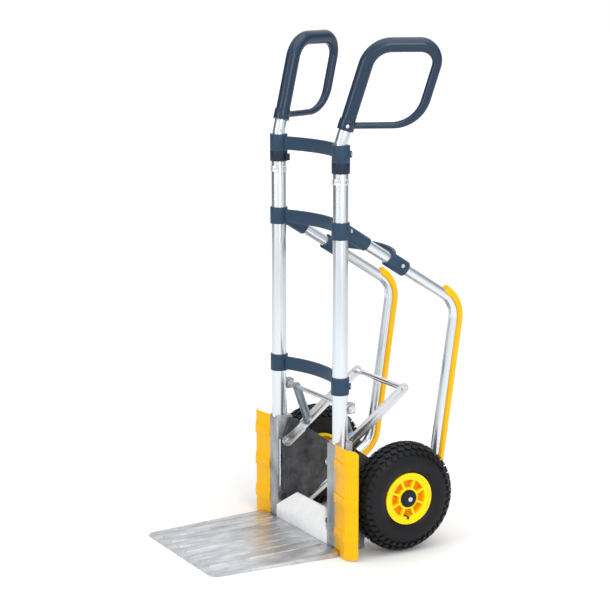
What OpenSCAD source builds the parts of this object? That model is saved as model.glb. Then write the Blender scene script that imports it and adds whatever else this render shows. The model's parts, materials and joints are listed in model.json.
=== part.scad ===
// Two-wheeled hand truck with a telescoping handle and a foot lever that swings the wheel carrier.
// Origin: floor level, midway between the uprights and under their axes.
// +Z up, -Y towards the toe plate, +X to the right-hand wheel as seen from behind the toe plate.

/* [Frame] */
// Distance between the two uprights' axes
tube_spacing = 296; // [270:1:330]
// Outer diameter of the uprights
tube_d = 36; // [33:0.5:39]
// Wall of the uprights
tube_wall = 2; // [1.5:0.1:2.5]
// Height of the uprights' feet above the floor
tube_foot = 16; // [14:1:24]
// Height of the uprights' upper ends
tube_top = 912; // [880:1:1000]
// Height of the lower crossbar's collars, at their lower end
low_bar_z = 377; // [365:1:420]
// Height of the middle crossbar's collars, at their lower end
mid_bar_z = 739; // [700:1:780]
// Length of a crossbar collar along the upright
collar_len = 40; // [36:1:46]
// Thickness of the collars round the tubes
collar_wall = 3.2; // [2.5:0.1:4.5]
// Thickness of the crossbar bands
band_t = 8; // [6:0.5:10]
// How far the crossbar bands bow back between the uprights
band_bow = 32; // [20:1:45]

/* [Handle] */
// Gap between the telescoping tubes and the uprights they slide in
slide_gap = 1; // [0.5:0.1:2]
// Wall of the telescoping tubes
inner_wall = 1.5; // [1.2:0.1:2.5]
// Height of the lower ends of the telescoping tubes
inner_foot = 560; // [500:1:600]
// Height at which the telescoping tubes lean back
handle_bend = 959; // [956:1:970]
// Lean of the grips
grip_lean = 17.5; // [10:0.5:22]
// Splay of the grips, seen from above
grip_splay = 23; // [0:1:30]
// Height of the grips' lower ends
grip_foot = 988; // [984:1:1060]
// Height of the middle of the grips' top run
grip_top = 1178; // [1160:1:1260]
// Depth of the grips, to the middle of the rear corner
grip_depth = 231; // [210:1:260]
// Radius of the grips' thick tube
grip_r = 17; // [16.5:0.1:20]
// Radius of the grips' thin return bar
grip_bar_r = 7.5; // [6:0.5:9]

/* [Toe plate] */
// Depth of the toe plate
toe_depth = 327.5; // [280:0.5:400]
// Width of the toe plate's front edge
toe_front_w = 358; // [330:1:380]
// Width of the toe plate's back edge
toe_back_w = 382; // [372:1:400]
// Thickness of the toe plate's front edge
toe_front_t = 4; // [3:0.5:6]
// Thickness of the toe plate's back edge
toe_back_t = 12; // [9:0.5:14]
// Number of ribs on the toe plate
rib_count = 8; // [4:1:8]
// Distance between the ribs
rib_pitch = 40.5; // [30:0.5:42]

/* [Glides] */
// Outer diameter of the glide tubes
glide_d = 27; // [24:0.5:28]
// Wall of the glide tubes
glide_wall = 2; // [1.5:0.1:2.5]
// How far the glides stand in from the uprights' axes
glide_inset = 2; // [0:0.5:4]
// Thickness of the slide strips on the glides
strip_t = 9; // [5:0.5:10]

/* [Wheels] */
// Diameter of the tyres
tyre_d = 260; // [240:2:266]
// Width of the tyres
tyre_w = 80; // [70:1:82]
// How far the wheels' middle planes stand out from the uprights' axes
wheel_out = 59; // [58:0.5:66]
// Distance of the axle behind the uprights
axle_y = 134; // [134:1:150]
// Diameter of the axle
axle_d = 20; // [16:0.5:22]
// Radius of the rims where the tyres sit
rim_r = 61.5; // [56:0.5:64]

/* [Foot lever] */
// Width of the lever's arms
arm_w = 25; // [20:0.5:27]
// Thickness of the lever's arms and links
arm_t = 5; // [4:0.5:5]
// Diameter of the tread rod
tread_d = 14; // [10:0.5:18]
// Width of the links
link_w = 20; // [18:0.5:22]
// Diameter of the fixed cross rod
cross_rod_d = 11; // [8:0.5:12]

/* [Hidden] */
$fn = 64;

// Clearance between a shaft and its hole, on the radius
run_gap = 0.05;
// Clearance between faces that move past each other
face_gap = 0.3;
// Extra length of a cutting tool past a face
cut = 1;

half_gap = tube_spacing / 2;
tube_r = tube_d / 2;
inner_r = tube_r - tube_wall - slide_gap;
collar_r = tube_r + collar_wall;
band_h = collar_len - 8;

// Ring that closes the upper end of an upright
ring_lip = 2.5;
ring_len = 22;
ring_top = tube_top + ring_lip;
bush_len = 32;

// Lock pin: height below the ring, direction in plan, size
pin_z = tube_top - 40;
pin_angle = -48.5;
pin_r = 4;
pin_head_r = 8;
pin_head_t = 3;
wire_r = 1.25;
wire_rise = pin_r + wire_r + 0.5;
wire_ring_r = tube_r + wire_r + 1;
wire_reach = 84;
pin_tip = inner_r + face_gap;

// Bracket at the foot of each upright
bracket_front = -tube_r - 2;
strip_t_cast = 5;
strip_in = half_gap - tube_r - 6;
strip_out = half_gap + tube_r - 5;
strip_low = 14;
strip_high = 258;
socket_low = 206;
socket_high = 264;
socket_in = half_gap - tube_r - 3;
foot_high = 80;

// Bumper
bumper_t = 4;
bumper_low = 2;
bumper_high = 262;
bumper_mid_x = strip_out + 58;
bumper_mid_y = bracket_front - 7;
bumper_out_x = strip_out + 87;
bumper_out_y = bracket_front + 10;
band_raise = 3;
bumper_corner = 15;

// Wheel carrier: pivot, lever pivot and plate
plate_t = 10;
plate_in = strip_in - plate_t - 2;
stud_at = [6, 46];
tie_at = [46, 234];
pivot = [-8, 65];
lever_pivot = [0, 206];
axle_r = axle_d / 2;
axle_z = tyre_d / 2;
boss_r = 26;
boss_out = plate_in + plate_t + 6;
pivot_r = 5;
pivot_end = socket_in + 1.5;
lever_bolt_r = 4;

// Foot lever: tread rod, link bolt and cross rod in the side view (y, z)
tread = [198, 360];
link_at = 72.2;
arm_angle = atan2(tread[1] - lever_pivot[1], tread[0] - lever_pivot[0]);
arm_len = norm(tread - lever_pivot);
link_bolt = lever_pivot + link_at * [cos(arm_angle), sin(arm_angle)];
doubler_len = 54;
arm_out = plate_in - face_gap;
arm_in = arm_out - arm_t;
link_out = arm_in - face_gap;
link_in = link_out - arm_t;
doubler_in = arm_in - arm_t;
cross_rod_r = cross_rod_d / 2;
cross_rod = [tube_r + cross_rod_r + 0.5, 341];
link_play = 1.2;
rod_end = half_gap + 22;

// Glide path in the side view (y, z)
glide_r = glide_d / 2;
glide_x = half_gap - glide_inset;
glide_slope = -0.6284;
glide_start = [tube_r + 12, mid_bar_z + 7.7];
glide_reach = 319;
glide_back = [glide_reach, glide_start[1] + glide_slope * (glide_reach - glide_start[0])];
glide_low = [261, 163];
glide_end = [50, 21.7];
glide_path = [glide_start, glide_back, glide_low, glide_end];
glide_bends = [0, 65, 60, 0];
glide_angle = atan(glide_slope);
socket_len = 46;
brace_at = 142;
brace_len = 54;
brace_bow = 40;

// Grip path, seen square to its own plane (depth, z)
grip_front_top = tan(grip_lean) * (grip_top - handle_bend);
grip_start = [tan(grip_lean) * (grip_foot - handle_bend), grip_foot];
grip_rear_r = grip_bar_r + 3.5;
grip_screw_r = 4;
grip_screw_at = grip_start + [3, 10];
grip_rear_lean = 17.2;
grip_low_z = grip_foot + 10;
grip_top_bend = 63;
grip_rear_bend = 38;
grip_low_bend = 80;
grip_collar = 24;
clamp_r = grip_r + 2.5;
grip_low_rear = grip_depth - tan(grip_rear_lean) * (grip_top - grip_low_z);

// Wheel parts
wheel_x = half_gap + wheel_out;
rim_half = 33;
hub_r = 24;
bearing_r = 18;
bearing_w = 10;
bearing_bore = axle_r + run_gap;
tyre_wall = 7;
tyre_section = tyre_w / 2 + 3;
tyre_ring = tyre_d / 2 - tyre_section;
hub_in = wheel_x - rim_half;
hub_out = wheel_x + rim_half - 4;
cap_r = 21;
axle_end = hub_out + face_gap;
pocket_count = 8;
pocket_in = 26;
pocket_out = 45;

// ---------- Helpers ----------

// A part and its mirror image
module both() {
    children();
    mirror([1, 0, 0]) children();
}

// A part on one side: +1 right, -1 left
module side(s) {
    if (s > 0) children();
    else mirror([1, 0, 0]) children();
}

// Turns things drawn in (x, y) into the side view (y, z), with their height along +X
module side_view() {
    rotate([90, 0, 90]) children();
}

// A round bar along X at a place in the side view
module bar_x(at, r, x0, x1) {
    translate([x0, at[0], at[1]]) rotate([0, 90, 0]) cylinder(h = x1 - x0, r = r);
}

// A hexagon along X at a place in the side view
module hex_x(at, r, x0, x1) {
    translate([x0, at[0], at[1]]) rotate([0, 90, 0]) cylinder(h = x1 - x0, r = r, $fn = 6);
}

function unit(v) = v / norm(v);
function turn(u, w) = acos(max(-1, min(1, u * w)));
function cross_z(u, w) = u[0] * w[1] - u[1] * w[0];
function dir_at(p, i) = unit(p[i + 1] - p[i]);
function trim_at(p, b, i) =
    (i <= 0 || i >= len(p) - 1) ? 0 : b[i] * tan(turn(dir_at(p, i - 1), dir_at(p, i)) / 2);

// Stations along a path in the side view with round bends: [place, direction] each
bend_steps = 10;
function bend_station(p, b, i, part) =
    let (u = dir_at(p, i - 1), w = dir_at(p, i), s = sign(cross_z(u, w)),
         out = -s * [-u[1], u[0]],
         centre = p[i] - trim_at(p, b, i) * u - b[i] * out,
         a = s * turn(u, w) * part)
    [centre + b[i] * turned(out, a), turned(u, a)];
function turned(v, a) = [v[0] * cos(a) - v[1] * sin(a), v[0] * sin(a) + v[1] * cos(a)];
function stations(p, b) = concat(
    [[p[0], dir_at(p, 0)]],
    [for (i = [1 : len(p) - 2]) for (k = [0 : bend_steps]) bend_station(p, b, i, k / bend_steps)],
    [[p[len(p) - 1], dir_at(p, len(p) - 2)]]);

// A profile's points at one station; +y of the profile lies on the right of the path
function placed(station, profile) =
    [for (q = profile) [q[0], station[0][0] + q[1] * station[1][1],
                        station[0][1] - q[1] * station[1][0]]];
function round_profile(r) = [for (k = [0 : sweep_sides - 1]) r * [cos(k * 360 / sweep_sides),
                                                                  sin(k * 360 / sweep_sides)]];
function wall_faces(first, n, rings, inward) =
    [for (j = [0 : rings - 2]) for (k = [0 : n - 1])
        let (a = first + j * n + k, b = first + j * n + (k + 1) % n)
        each inward ? [[a, b, b + n], [a, b + n, a + n]] : [[b + n, b, a], [a + n, b + n, a]]];
sweep_sides = 24;

// A solid with a constant profile along a path
module sweep_solid(path, bends, profile) {
    st = stations(path, bends);
    n = len(profile);
    last = (len(st) - 1) * n;
    polyhedron([for (q = st) each placed(q, profile)],
               concat([[for (k = [0 : n - 1]) k]], [[for (k = [n - 1 : -1 : 0]) last + k]],
                      wall_faces(0, n, len(st), false)));
}

// A round bar through stations, with a radius at each
module sweep_round(st, radii) {
    n = sweep_sides;
    last = (len(st) - 1) * n;
    polyhedron([for (k = [0 : len(st) - 1]) each placed(st[k], round_profile(radii[k]))],
               concat([for (k = [1 : n - 2]) [0, k, k + 1]],
                      [for (k = [1 : n - 2]) [last + k + 1, last + k, last]],
                      wall_faces(0, n, len(st), false)));
}

// A round tube along a path
module sweep_tube(path, bends, outer, inner) {
    st = stations(path, bends);
    n = sweep_sides;
    m = len(st) * n;
    last = (len(st) - 1) * n;
    polyhedron(concat([for (q = st) each placed(q, round_profile(outer))],
                      [for (q = st) each placed(q, round_profile(inner))]),
               concat(wall_faces(0, n, len(st), false), wall_faces(m, n, len(st), true),
                      [for (k = [0 : n - 1]) [k, (k + 1) % n, m + (k + 1) % n, m + k]],
                      [for (k = [0 : n - 1]) [last + m + k, last + m + (k + 1) % n,
                                              last + (k + 1) % n, last + k]]));
}

// A tapered round bar between two places in the side view
module taper(from, to, r1, r2) {
    u = unit(to - from);
    translate([0, from[0], from[1]])
        rotate([-atan2(u[0], u[1]), 0, 0])
            cylinder(h = norm(to - from), r1 = r1, r2 = r2);
}

// A rectangle with small chamfers, centred
module chamfered(w, h, c) {
    polygon([[-w / 2 + c, -h / 2], [w / 2 - c, -h / 2], [w / 2, -h / 2 + c], [w / 2, h / 2 - c],
             [w / 2 - c, h / 2], [-w / 2 + c, h / 2], [-w / 2, h / 2 - c], [-w / 2, -h / 2 + c]]);
}

// A band that bows back between two collars: half span, ends' depth, bow, height
module bowed_band(half_span, end_y, bow, height) {
    radius = (half_span * half_span + bow * bow) / (2 * bow);
    half_sweep = asin(half_span / radius);
    translate([0, end_y + bow - radius, 0])
        rotate(90 - half_sweep)
            rotate_extrude(angle = 2 * half_sweep)
                translate([radius, 0]) chamfered(band_t, height, 1.5);
}

// A boss for a collar's screw, pointing back and out from the tube's axis
boss_angle = 45;
boss_reach = 25;
module collar_boss() {
    rotate(boss_angle)
        translate([tube_r - 3, 0, 0]) rotate([0, 90, 0])
            cylinder(h = boss_reach - tube_r + 3, r = 8);
}

// A socket screw's head seated on a collar's boss
module collar_screw_head() {
    rotate(boss_angle)
        translate([boss_reach, 0, 0]) rotate([0, 90, 0])
            difference() {
                cylinder(h = 2.5, r = 4.5);
                translate([0, 0, 1]) cylinder(h = 2.5, r = 2.4, $fn = 6);
            }
}

// One crossbar: two collars with screw bosses, joined by a bowed band. bore is the tubes' radius
module crossbar(low, bore) {
    mid = low + collar_len / 2;
    difference() {
        union() {
            for (s = [-1, 1])
                translate([s * half_gap, 0, 0]) {
                    translate([0, 0, low]) cylinder(h = collar_len, r = collar_r);
                    translate([0, 0, mid]) side(s) collar_boss();
                }
            translate([0, 0, mid - 1]) bowed_band(half_gap - 16, 8, band_bow, band_h);
        }
        for (s = [-1, 1])
            translate([s * half_gap, 0, low - cut]) cylinder(h = collar_len + 2 * cut, r = bore);
    }
}

// ---------- Frame ----------

module toe_plate() {
    back = bracket_front;
    front = back - toe_depth;
    color([0.72, 0.73, 0.75]) {
        intersection() {
            translate([0, 0, -cut]) linear_extrude(toe_back_t + 2 * cut)
                polygon([[-strip_out, back], [-toe_back_w / 2, back - 8],
                         [-toe_front_w / 2, front + 12], [-toe_front_w / 2 + 12, front],
                         [toe_front_w / 2 - 12, front], [toe_front_w / 2, front + 12],
                         [toe_back_w / 2, back - 8], [strip_out, back]]);
            translate([-toe_back_w / 2, 0, 0]) side_view() linear_extrude(toe_back_w)
                polygon([[front, 0], [back, 0], [back, toe_back_t], [front, toe_front_t]]);
        }
        for (i = [0 : rib_count - 1])
            translate([-toe_front_w / 2 + 11 + i * rib_pitch, 0, 0]) toe_rib(front, back);
    }
}

// One rib along the toe plate's upper face
module toe_rib(front, back) {
    rib_w = 12;
    rib_h = 2.2;
    inset = 18;
    rise = (toe_back_t - toe_front_t) / toe_depth;
    translate([-rib_w / 2, 0, 0]) side_view() linear_extrude(rib_w)
        polygon([[front + inset, toe_front_t + rise * inset - 1],
                 [front + inset + 4, toe_front_t + rise * (inset + 4) + rib_h],
                 [back - 14, toe_back_t - rise * 14 + rib_h],
                 [back - 10, toe_back_t - rise * 10 - 1]]);
}

module riser() {
    low_half = strip_in - face_gap;
    top_half = 68;
    lip_z = 48;
    top = [8, 84];
    t = 5;
    color([0.78, 0.79, 0.8])
        intersection() {
            translate([-low_half, 0, 0]) side_view() linear_extrude(2 * low_half)
                polygon([[bracket_front - 2, toe_back_t], [bracket_front - 2, lip_z],
                         [top[0] - t, top[1]], [top[0], top[1]], [top[0], top[1] - 8],
                         [bracket_front - 2 + t, lip_z - 4], [bracket_front - 2 + t, toe_back_t - 6],
                         [bracket_front, toe_back_t - 6], [bracket_front, toe_back_t]]);
            rotate([90, 0, 0]) translate([0, 0, -top[0] - cut])
                linear_extrude(top[0] - bracket_front + 2 + 2 * cut)
                    polygon([[-low_half, 0], [low_half, 0], [low_half, lip_z - 6],
                             [top_half, top[1]], [-top_half, top[1]], [-low_half, lip_z - 6]]);
        }
}

// Bracket drawn for the right side
module bracket() {
    depth = 36;
    side_wall = 4;
    difference() {
        union() {
            translate([strip_in, bracket_front, strip_low])
                cube([strip_out - strip_in, strip_t_cast, strip_high - strip_low]);
            translate([socket_in, bracket_front + bumper_t, socket_low])
                cube([strip_out + side_wall - socket_in, depth + 4, socket_high - socket_low]);
            translate([strip_in, bracket_front + bumper_t, 3])
                cube([strip_out + side_wall - strip_in, glide_end[0] + 4 - bracket_front,
                      foot_high - 3]);
            translate([strip_out, bracket_front + bumper_t, 3])
                cube([side_wall, depth - 12, socket_high - 3]);
            translate([0, 0, strip_low + 4]) linear_extrude(strip_high - strip_low - 8)
                bumper_ear();
        }
        translate([half_gap, 0, tube_foot]) cylinder(h = socket_high, r = tube_r);
        translate([glide_x, 0, 0])
            taper((glide_low + glide_end) / 2, glide_end, glide_r, glide_r);
        bar_x(pivot, pivot_r + run_gap, strip_in - cut, pivot_end + cut);
    }
}

// The bracket's ear behind the bumper, in plan
module bumper_ear() {
    fall = (bumper_mid_y - bracket_front) / (bumper_mid_x - strip_out);
    reach = 39;
    back = bracket_front + bumper_t;
    polygon([[strip_out, back], [strip_out + reach, back + fall * reach],
             [strip_out + reach, back + fall * reach + 4], [strip_out, back + 4]]);
}

// The bumper's outline in plan, raised by an amount in front
module bumper_plan(raise) {
    polygon([[strip_out, bracket_front + bumper_t - (raise > 0 ? 1 : 0)],
             [strip_out, bracket_front - raise],
             [bumper_mid_x, bumper_mid_y - raise], [bumper_out_x + raise, bumper_out_y - raise / 2],
             [bumper_out_x - 2, bumper_out_y + bumper_t - 0.6],
             [bumper_mid_x - 1, bumper_mid_y + bumper_t]]);
}

// Bumper drawn for the right side
module bumper() {
    intersection() {
        union() {
            translate([0, 0, bumper_low]) linear_extrude(bumper_high - bumper_low) bumper_plan(0);
            for (z = [43, 126, 206])
                translate([0, 0, z]) linear_extrude(22) bumper_plan(band_raise);
        }
        rotate([90, 0, 0]) translate([0, 0, -20]) linear_extrude(80) bumper_face();
    }
}

// The bumper's outline from the front, with its outer corners rounded
module bumper_face() {
    c = bumper_corner;
    out = bumper_out_x + band_raise + cut;
    difference() {
        translate([strip_out, bumper_low]) square([out - strip_out, bumper_high - bumper_low]);
        for (end = [[bumper_low + c, -1], [bumper_high - c, 1]])
            difference() {
                translate([bumper_out_x - c, end[1] > 0 ? end[0] : end[0] - c - cut])
                    square([c + 10, c + cut]);
                translate([bumper_out_x - c, end[0]]) circle(r = c);
            }
    }
}

module upright(s) {
    color([0.85, 0.86, 0.88])
        translate([s * half_gap, 0, 0])
            difference() {
                translate([0, 0, tube_foot]) cylinder(h = tube_top - tube_foot, r = tube_r);
                translate([0, 0, tube_foot - cut])
                    cylinder(h = tube_top - tube_foot + 2 * cut, r = tube_r - tube_wall);
                translate([0, 0, pin_z]) rotate(pin_angle) rotate([0, 90, 0])
                    cylinder(h = tube_r + cut, r = pin_r + run_gap);
            }
}

module top_ring(s) {
    color([0.13, 0.19, 0.27])
        translate([s * half_gap, 0, 0]) {
            rotate_extrude() {
                translate([tube_r, ring_top - ring_len - ring_lip])
                    square([collar_wall, ring_len + ring_lip]);
                translate([inner_r + run_gap, tube_top])
                    square([collar_r - inner_r - run_gap, ring_lip]);
                translate([inner_r + run_gap, tube_top - bush_len])
                    square([tube_r - tube_wall - inner_r - run_gap, bush_len + ring_lip]);
            }
            translate([-s * (tube_r + 5) - 4, 6, ring_top - ring_len]) cube([8, 10, ring_len - 6]);
        }
}

module lower_crossbar() {
    color([0.16, 0.27, 0.38]) crossbar(low_bar_z, tube_r);
}

module middle_crossbar() {
    color([0.16, 0.27, 0.38])
        difference() {
            union() {
                crossbar(mid_bar_z, tube_r);
                both() translate([glide_x, glide_start[0], glide_start[1]])
                    rotate([glide_angle - 90, 0, 0]) translate([0, 0, -16])
                        cylinder(h = socket_len + 16, r = glide_r + collar_wall);
            }
            for (s = [-1, 1])
                translate([s * half_gap, 0, mid_bar_z - 40]) cylinder(h = 120, r = tube_r);
            both() translate([glide_x, glide_start[0], glide_start[1]])
                rotate([glide_angle - 90, 0, 0]) cylinder(h = socket_len + cut, r = glide_r);
        }
}

module glide_rail(s) {
    color([0.83, 0.84, 0.86])
        side(s) translate([glide_x, 0, 0])
            sweep_tube(glide_path, glide_bends, glide_r, glide_r - glide_wall);
}

strip_lead = 45;
strip_tail = 118;
strip_steps = 16;
strip_clear = 0.1;
strip_side = 6;
strip_edge = 8;

// Slide strip: a half shell on the outer side of the glide, from above the rear bend
strip_path = [glide_back + strip_lead * unit(glide_start - glide_back), glide_back, glide_low,
              glide_low + strip_tail * unit(glide_end - glide_low)];
function strip_arc(across, deep, first, last) =
    [for (i = [0 : strip_steps]) let (a = first + (last - first) * i / strip_steps)
        [across * cos(a), deep * sin(a)]];
module glide_strip(s) {
    color([0.98, 0.72, 0.02])
        side(s) translate([glide_x, 0, 0])
            sweep_solid(strip_path, glide_bends,
                        concat(strip_arc(glide_r + strip_side, glide_r + strip_t, strip_edge - 180,
                                         -strip_edge),
                               strip_arc(glide_r + strip_clear, glide_r + strip_clear, -strip_edge,
                                         strip_edge - 180)));
}

module glide_brace() {
    at = glide_start + brace_at * [cos(glide_angle), sin(glide_angle)];
    color([0.16, 0.27, 0.38])
        difference() {
            union() {
                both() translate([glide_x, at[0], at[1]])
                    rotate([glide_angle - 90, 0, 0]) translate([0, 0, -brace_len / 2]) {
                        cylinder(h = brace_len, r = glide_r + 5.5);
                        translate([glide_r, 0, brace_len / 2 + 6]) rotate([0, 90, 0])
                            cylinder(h = 8, r = 7);
                    }
                translate([0, at[0] + 4, at[1] + 12])
                    bowed_band(glide_x - 14, 0, brace_bow, 26);
            }
            both() translate([glide_x, at[0], at[1]])
                rotate([glide_angle - 90, 0, 0]) translate([0, 0, -brace_len])
                    cylinder(h = 2 * brace_len, r = glide_r);
        }
}

// Heads of the screws that clamp the two fixed crossbars and the brace
module frame_screws() {
    at = glide_start + brace_at * [cos(glide_angle), sin(glide_angle)];
    color([0.75, 0.76, 0.78]) {
        for (z = [low_bar_z, mid_bar_z])
            both() translate([half_gap, 0, z + collar_len / 2]) collar_screw_head();
        both() translate([glide_x, at[0], at[1]])
            rotate([glide_angle - 90, 0, 0])
                translate([glide_r + 8, 0, 6]) rotate([0, 90, 0])
                    difference() {
                        cylinder(h = 2.5, r = 4.5);
                        translate([0, 0, 1]) cylinder(h = 2.5, r = 2.4, $fn = 6);
                    }
    }
}

module cross_rod_bar() {
    color([0.8, 0.81, 0.82]) bar_x(cross_rod, cross_rod_r, -rod_end, rod_end);
}

// Lugs that hold the cross rod against the backs of the uprights
lug_w = 20;
module rod_lugs() {
    color([0.7, 0.71, 0.73])
        both() difference() {
            translate([half_gap - lug_w / 2, tube_r - 3, cross_rod[1] - 12])
                cube([lug_w, cross_rod_d + 9, 24]);
            translate([half_gap, 0, cross_rod[1] - 20]) cylinder(h = 40, r = tube_r);
            bar_x(cross_rod, cross_rod_r, 0, rod_end + 20);
        }
}

module rod_nuts() {
    color([0.62, 0.63, 0.65])
        both() for (x0 = [half_gap - lug_w / 2 - 7, half_gap + lug_w / 2])
            difference() {
                hex_x(cross_rod, cross_rod_r + 4.5, x0, x0 + 7);
                bar_x(cross_rod, cross_rod_r, x0 - cut, x0 + 8);
            }
}

// ---------- Wheel carrier ----------

// Outline of a carrier plate in the side view (y, z)
plate_outline = [[-8, 50], [-8, 204], [12, 262], [35, 253], [62, 230], [axle_y + 8, 172],
                 [axle_y + 24, axle_z], [axle_y - 8, 102], [73, 56], [26, 26], [10, 22]];
module carrier_plate(s) {
    color([0.28, 0.29, 0.3])
        side(s) difference() {
            union() {
                translate([plate_in, 0, 0]) side_view() linear_extrude(plate_t)
                    polygon(plate_outline);
                bar_x([axle_y, axle_z], boss_r, plate_in, boss_out);
                bar_x(pivot, 10, plate_in, strip_in - face_gap);
                translate([plate_in - 1.2, 0, 0]) side_view() linear_extrude(2)
                    polygon([[-3, 139], [0, 141], [57, 68], [54, 66]]);
            }
            bar_x([axle_y, axle_z], axle_r, plate_in - cut, boss_out + cut);
            bar_x(pivot, pivot_r, plate_in - cut, strip_in + cut);
            bar_x(lever_pivot, lever_bolt_r, plate_in - cut, plate_in + plate_t + cut);
        }
}

module axle() {
    color([0.6, 0.61, 0.63]) difference() {
        bar_x([axle_y, axle_z], axle_r, -axle_end, axle_end);
        both() bar_x([axle_y, axle_z], 3, axle_end - 20, axle_end + cut);
    }
}

module axle_spacers() {
    color([0.5, 0.51, 0.53]) both() difference() {
        bar_x([axle_y, axle_z], axle_r + 4, boss_out, hub_in - face_gap);
        bar_x([axle_y, axle_z], axle_r, boss_out - cut, hub_in + cut);
    }
}

module pivot_bolts() {
    color([0.12, 0.12, 0.13]) both() {
        bar_x(pivot, pivot_r, plate_in, pivot_end);
        hex_x(pivot, 8, plate_in - 5, plate_in);
    }
}

module lever_bolts() {
    color([0.7, 0.72, 0.75]) both() {
        bar_x(lever_pivot, lever_bolt_r, doubler_in, plate_in + plate_t);
        difference() {
            bar_x(lever_pivot, 7, doubler_in - face_gap - 4, doubler_in - face_gap);
            hex_x(lever_pivot, 3.5, doubler_in - 6, doubler_in - 2.5);
        }
        bar_x(lever_pivot, lever_bolt_r, doubler_in - face_gap, doubler_in);
        bar_x(lever_pivot, 7.5, plate_in + plate_t, strip_in - face_gap);
    }
}

module axle_caps() {
    color([0.07, 0.07, 0.08]) both() difference() {
        union() {
            bar_x([axle_y, axle_z], cap_r, axle_end, axle_end + 3);
            bar_x([axle_y, axle_z], cap_r - 5, axle_end + 3, axle_end + 6);
        }
        bar_x([axle_y, axle_z], 3, axle_end - cut, axle_end + 7);
    }
}

module axle_bolts() {
    color([0.8, 0.81, 0.83]) both() {
        bar_x([axle_y, axle_z], 3, axle_end - 20, axle_end + 6);
        difference() {
            bar_x([axle_y, axle_z], 5.5, axle_end + 6, axle_end + 10);
            hex_x([axle_y, axle_z], 2.6, axle_end + 8, axle_end + 11);
        }
    }
}

// Bolts that show on the carrier plates: one beside the pivot, one near the top on the outer face
module carrier_bolts() {
    color([0.1, 0.1, 0.11]) both() {
        difference() {
            bar_x(stud_at, 6, plate_in - 4, plate_in);
            hex_x(stud_at, 3, plate_in - 5, plate_in - 2);
        }
        hex_x(tie_at, 7, plate_in + plate_t, socket_in - 1);
    }
}

// ---------- Foot lever ----------

// A flat bar with round ends between two places in the side view
module flat_bar(from, to, w, x0, t) {
    u = unit(to - from);
    a = atan2(u[1], u[0]);
    steps = 16;
    translate([x0, 0, 0]) side_view() linear_extrude(t)
        polygon(concat([for (k = [0 : steps]) from + w / 2 * turned([0, 1], a + k * 180 / steps)],
                       [for (k = [0 : steps]) to + w / 2 * turned([0, -1], a + k * 180 / steps)]));
}

module lever_arm(s) {
    u = [cos(arm_angle), sin(arm_angle)];
    overlap = 14;
    color([0.8, 0.82, 0.84])
        side(s) difference() {
            union() {
                flat_bar(lever_pivot, lever_pivot + doubler_len * u, arm_w, doubler_in, arm_t);
                flat_bar(lever_pivot + (doubler_len - overlap) * u, tread, arm_w, arm_in, arm_t);
            }
            translate([doubler_in - cut, 0, 0]) side_view() linear_extrude(arm_t + cut)
                translate(lever_pivot) rotate(arm_angle) translate([doubler_len - 2, -arm_w])
                    square([2 * arm_w, 2 * arm_w]);
            bar_x(lever_pivot, lever_bolt_r + run_gap, doubler_in - cut, arm_out + cut);
            bar_x(link_bolt, lever_bolt_r, doubler_in - cut, arm_out + cut);
            bar_x(tread, 3, arm_in - cut, arm_out + cut);
        }
}

module tread_rod() {
    color([0.85, 0.86, 0.88])
        difference() {
            bar_x(tread, tread_d / 2, -arm_in, arm_in);
            both() bar_x(tread, 3, arm_in - 20, arm_in + cut);
        }
}

module tread_screws() {
    color([0.65, 0.66, 0.68]) both() {
        bar_x(tread, 3, arm_in - 20, arm_out);
        difference() {
            bar_x(tread, 6.5, arm_out, arm_out + 4);
            hex_x(tread, 3, arm_out + 2, arm_out + 5);
        }
    }
}

// Bolts that join the links to the lever
module link_bolts() {
    color([0.75, 0.77, 0.8]) both() {
        bar_x(link_bolt, lever_bolt_r, link_in - 1.5, arm_out);
        hex_x(link_bolt, 7.5, link_in - 6, link_in - face_gap);
    }
}

// Washers between the lever's front ends and the carrier plates
module lever_washers() {
    color([0.7, 0.71, 0.72]) both() difference() {
        bar_x(lever_pivot, 12, arm_in, arm_out);
        bar_x(lever_pivot, lever_bolt_r + run_gap, arm_in - cut, arm_out + cut);
    }
}

module link(s) {
    color([0.5, 0.54, 0.57])
        side(s) difference() {
            flat_bar(cross_rod, link_bolt, link_w, link_in, arm_t);
            bar_x(cross_rod, cross_rod_r + run_gap, link_in - cut, link_out + cut);
            bar_x(link_bolt, lever_bolt_r + link_play, link_in - cut, link_out + cut);
        }
}

// ---------- Wheels, drawn for the right side about their own axis ----------

module on_axle(s) {
    side(s) translate([wheel_x, axle_y, axle_z]) rotate([0, 90, 0]) children();
}

module tyre(s) {
    color([0.06, 0.06, 0.07]) on_axle(s)
        rotate_extrude($fn = 96)
            difference() {
                intersection() {
                    translate([tyre_ring, 0]) circle(r = tyre_section);
                    translate([rim_r, -tyre_w / 2]) square([tyre_d, tyre_w]);
                }
                translate([tyre_ring, 0]) circle(r = tyre_section - tyre_wall);
            }
}

module rim(s) {
    color([0.97, 0.85, 0.05]) on_axle(s)
        difference() {
            rotate_extrude($fn = 96) {
                translate([rim_r - 6.5, -rim_half]) square([6.5, 2 * rim_half]);
                translate([hub_r - 4, 4]) square([rim_r - hub_r, 10]);
                translate([pocket_out, 4]) square([rim_r - pocket_out - 2, rim_half - 7]);
                translate([hub_r - 8, -rim_half]) square([8, 2 * rim_half - 4]);
                translate([hub_r - 2, 4]) square([4, rim_half - 8]);
            }
            for (z = [-rim_half - cut, rim_half - 4 - bearing_w])
                translate([0, 0, z]) cylinder(h = bearing_w + cut, r = bearing_r);
            translate([rim_r - 14, 0, -rim_half - cut]) cylinder(h = 2 * rim_half, r = 4.2);
        }
    color([0.97, 0.85, 0.05]) on_axle(s)
        for (i = [0 : pocket_count - 1])
            rotate(i * 360 / pocket_count + 22.5)
                translate([pocket_in - 1, -2.5, 12]) cube([pocket_out - pocket_in + 3, 5, 17]);
}

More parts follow.
